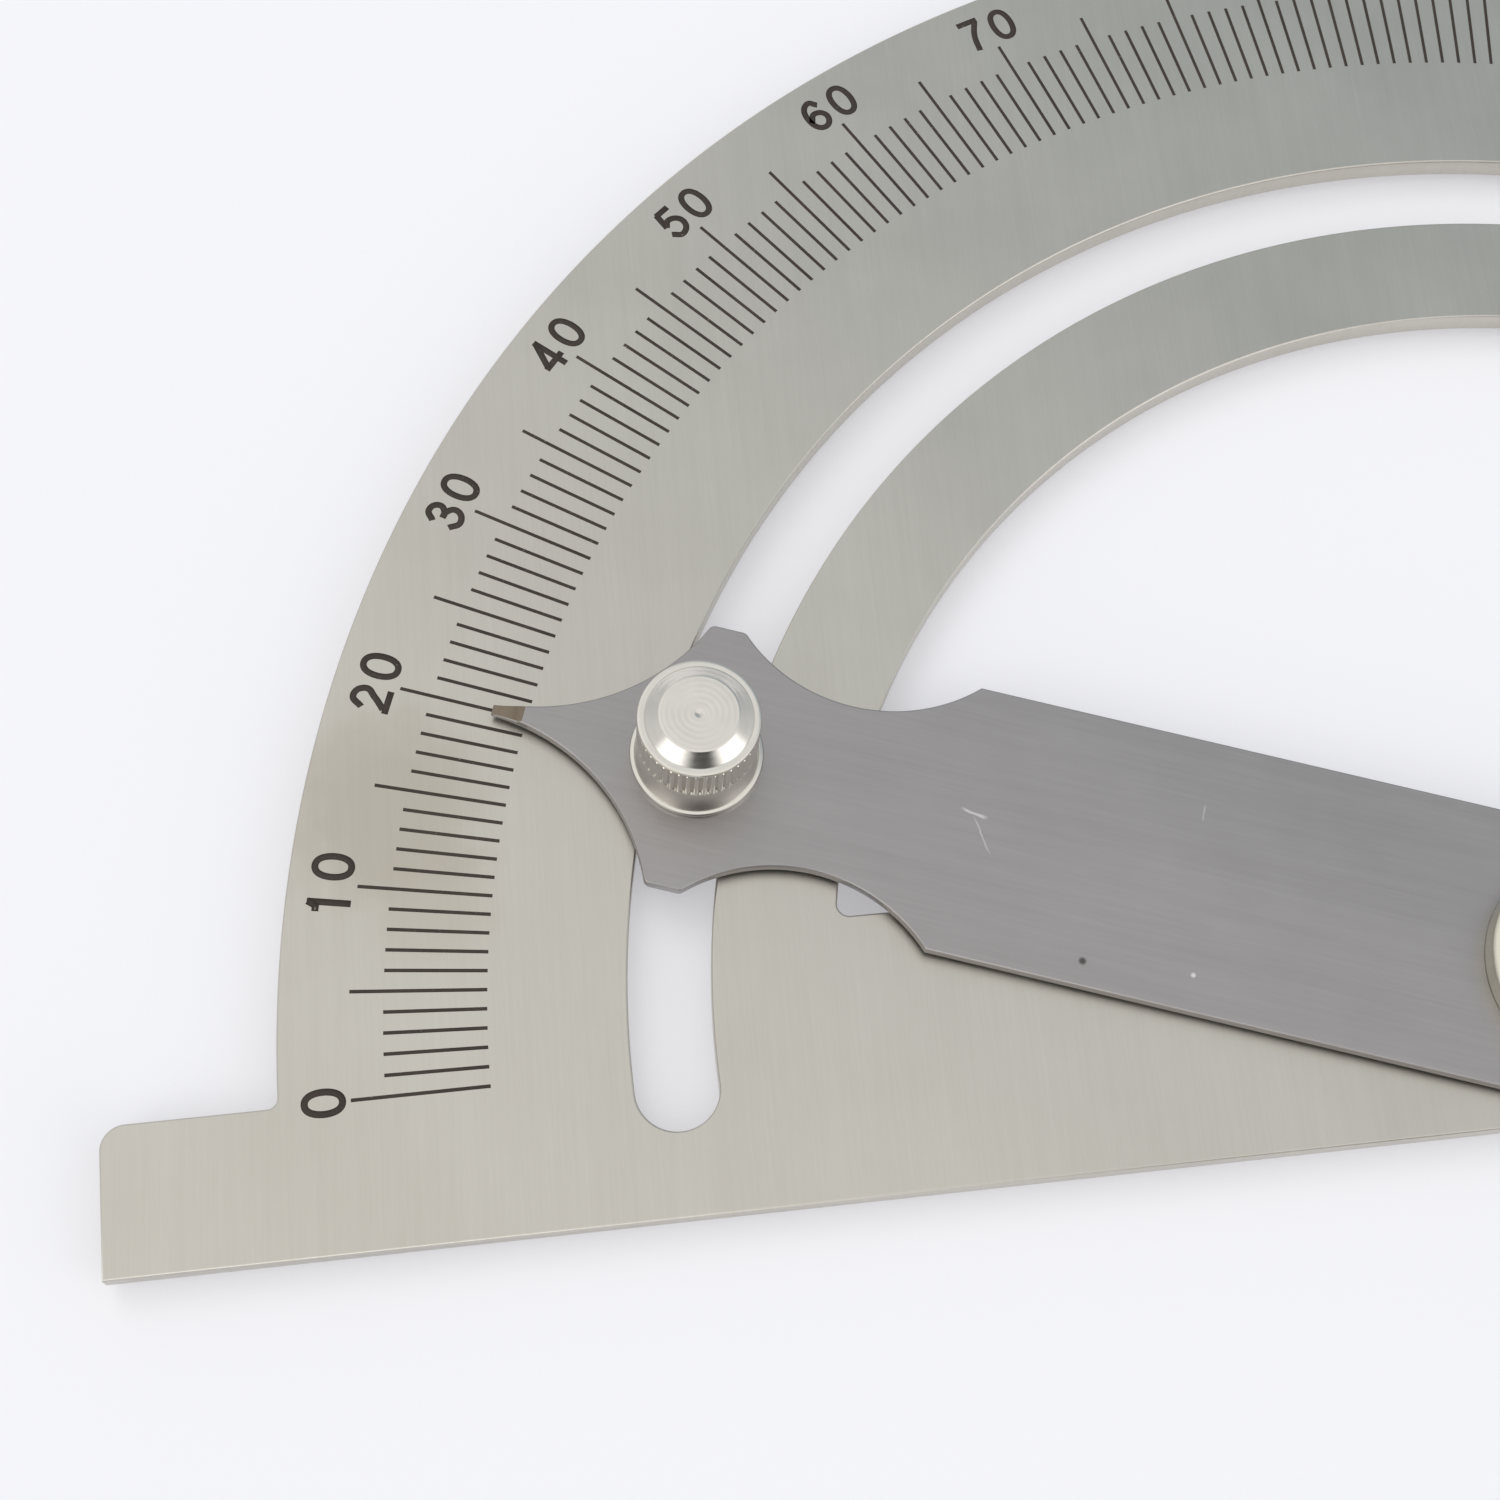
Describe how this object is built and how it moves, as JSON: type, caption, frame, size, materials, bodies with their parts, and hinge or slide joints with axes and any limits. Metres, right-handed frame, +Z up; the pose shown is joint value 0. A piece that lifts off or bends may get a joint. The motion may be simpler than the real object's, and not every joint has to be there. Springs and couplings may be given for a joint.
{
  "type": "bevel protractor",
  "caption": "Flat steel protractor: half-disc scale plate on a straight base bar, with a swinging blade and pointer locked by a knurled nut in an arc slot.",
  "frame": {"origin": "on the pivot axis, at the flat face of the pivot's tail, which the part lies on", "axes": "+Z up, out of the scale's face; +X along the measuring edge from 0 towards 180; +Y from the pivot towards 90 on the scale"},
  "size_m": [0.2141, 0.1282, 0.0102],
  "materials": {
    "plate_steel": "satin, warm grey, fine grain",
    "arm_steel": "satin, darker grey, grain along the blade",
    "rivet_metal": "polished warm nickel plate",
    "washer_steel": "dull steel",
    "bolt_steel": "turned steel",
    "nut_plating": "bright nickel plate"
  },
  "bodies": {
    "plate": {"scale_plate": "plate_steel", "pivot_rivet": "rivet_metal", "pivot_back_washer": "washer_steel", "pivot_spacer": "washer_steel"},
    "swing_arm": {"arm": "arm_steel", "clamp_bolt": "bolt_steel", "clamp_spacer": "washer_steel"},
    "clamp_washer": {"nut_washer": "nut_plating"},
    "clamp_nut": {"knurled_nut": "nut_plating"}
  },
  "joints": [
    {"name": "arm_swing", "type": "hinge", "parent": "plate", "child": "swing_arm", "pos_m": [0, 0, 0.0033], "axis": [0, 0, 1], "range_deg": [-161.5, 21.1]},
    {"name": "nut_lift", "type": "slide", "parent": "swing_arm", "child": "clamp_washer", "axis": [0, 0, 1], "range_m": [0, 0.0007]},
    {"name": "nut_turn", "type": "hinge", "parent": "clamp_washer", "child": "clamp_nut", "pos_m": [-0.04991, 0.01797, 0.0042], "axis": [0, 0, 1], "range_deg": [0, 360]}
  ],
  "couplings": [
    {"joint": "nut_turn", "follows": "nut_lift", "rad_per_m": 8975.9}
  ]
}
